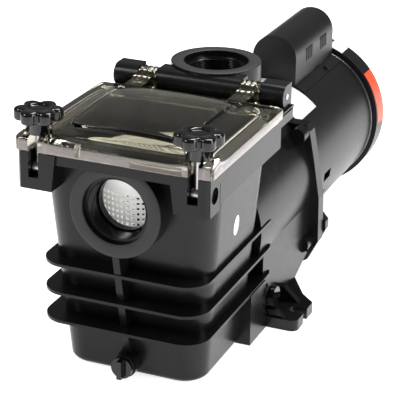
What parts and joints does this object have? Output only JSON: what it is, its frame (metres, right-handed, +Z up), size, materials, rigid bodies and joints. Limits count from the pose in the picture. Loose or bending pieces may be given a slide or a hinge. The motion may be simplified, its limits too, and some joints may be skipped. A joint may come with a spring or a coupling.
{
  "type": "pool pump",
  "caption": "Self-priming pool pump: ribbed strainer pot with hinged clear lid and swing-bolt knobs, threaded ports, volute and a cylindrical motor with capacitor cover.",
  "frame": {"origin": "on the floor, in the middle of the strainer pot's flat base", "axes": "+Z up, +Y from the suction port towards the motor, +X to the right of the pot seen from the suction side"},
  "size_m": [0.24, 0.5968, 0.274],
  "materials": {
    "housing_plastic": "glass-filled black plastic, satin",
    "clear_lid": "clear smoky plastic, glossy",
    "knob_plastic": "glossy black",
    "motor_paint": "black paint, semi-gloss",
    "steel": "bright steel",
    "chrome": "polished",
    "brass": "turned",
    "rubber": "black rubber",
    "white_plastic": "white, moulded",
    "aluminium": "cast and machined",
    "core_steel": "laminated steel",
    "copper": "varnished copper wire",
    "ceramic": "lapped ceramic",
    "carbon": "carbon",
    "impeller_plastic": "dark moulded plastic",
    "label_white": "blank white sticker",
    "label_orange": "blank orange-red sticker"
  },
  "bodies": {
    "pump": {"strainer_housing": "housing_plastic", "lid_gasket": "rubber", "hinge_pin": "chrome", "strainer_basket": "white_plastic", "diffuser": "impeller_plastic", "diffuser_ring": "brass", "seal_plate": "housing_plastic", "seal_seat": "ceramic", "housing_gasket": "rubber", "housing_bolts": "steel", "support_foot": "housing_plastic", "foot_screws": "steel", "motor_shell": "motor_paint", "front_bell": "aluminium", "rear_bell": "motor_paint", "through_bolts": "steel", "stator_core": "core_steel", "windings": "copper", "front_bearing": "steel", "rear_bearing": "steel", "wave_washer": "steel", "start_switch": "knob_plastic", "terminal_board": "knob_plastic", "end_cap": "motor_paint", "conduit_plug": "knob_plastic", "end_cap_screws": "steel", "capacitor_cover": "motor_paint", "cover_screws": "motor_paint", "capacitor": "aluminium", "capacitor_strap": "steel", "rating_label": "label_white", "cap_label": "label_white", "safety_label": "label_orange", "inspection_dot": "label_white", "left_pivot_pin": "chrome", "right_pivot_pin": "chrome"},
    "lid": {"lid": "clear_lid"},
    "rotor": {"shaft": "steel", "rotor_core": "core_steel", "impeller": "impeller_plastic", "impeller_screw": "steel", "seal_head": "carbon", "seal_spring": "steel", "slinger": "rubber", "governor": "steel", "cooling_fan": "knob_plastic"},
    "basket_handle": {"basket_handle": "steel"},
    "drain_plug": {"drain_plug": "knob_plastic", "drain_plug_seal": "rubber"},
    "volute_plug": {"volute_plug": "knob_plastic", "volute_plug_seal": "rubber"},
    "left_bolt": {"left_swing_bolt": "steel"},
    "left_knob": {"left_knob": "knob_plastic", "left_knob_insert": "brass"},
    "right_bolt": {"right_swing_bolt": "steel"},
    "right_knob": {"right_knob": "knob_plastic", "right_knob_insert": "brass"}
  },
  "joints": [
    {"name": "lid_hinge", "type": "hinge", "parent": "pump", "child": "lid", "pos_m": [0, 0.1055, 0.2473], "axis": [-1, 0, 0], "range_deg": [0, 95]},
    {"name": "shaft_spin", "type": "hinge", "parent": "pump", "child": "rotor", "pos_m": [0, 0.3, 0.109], "axis": [0, 1, 0], "continuous": true},
    {"name": "handle_fold", "type": "hinge", "parent": "pump", "child": "basket_handle", "pos_m": [0, -0.003, 0.2], "axis": [1, 0, 0], "range_deg": [0, 90]},
    {"name": "drain_plug_turn", "type": "hinge", "parent": "pump", "child": "drain_plug", "pos_m": [0, -0.085, 0.015], "axis": [0, 1, 0], "continuous": true},
    {"name": "volute_plug_turn", "type": "hinge", "parent": "pump", "child": "volute_plug", "pos_m": [0.085, 0.092, 0.032], "axis": [1, 0, 0], "continuous": true},
    {"name": "left_bolt_swing", "type": "hinge", "parent": "pump", "child": "left_bolt", "pos_m": [-0.0805, -0.093, 0.215], "axis": [1, 0, 0], "range_deg": [0, 95]},
    {"name": "left_knob_turn", "type": "hinge", "parent": "left_bolt", "child": "left_knob", "pos_m": [-0.0805, -0.093, 0.255], "axis": [0, 0, 1], "continuous": true},
    {"name": "right_bolt_swing", "type": "hinge", "parent": "pump", "child": "right_bolt", "pos_m": [0.0805, -0.093, 0.215], "axis": [1, 0, 0], "range_deg": [0, 95]},
    {"name": "right_knob_turn", "type": "hinge", "parent": "right_bolt", "child": "right_knob", "pos_m": [0.0805, -0.093, 0.255], "axis": [0, 0, 1], "continuous": true}
  ]
}
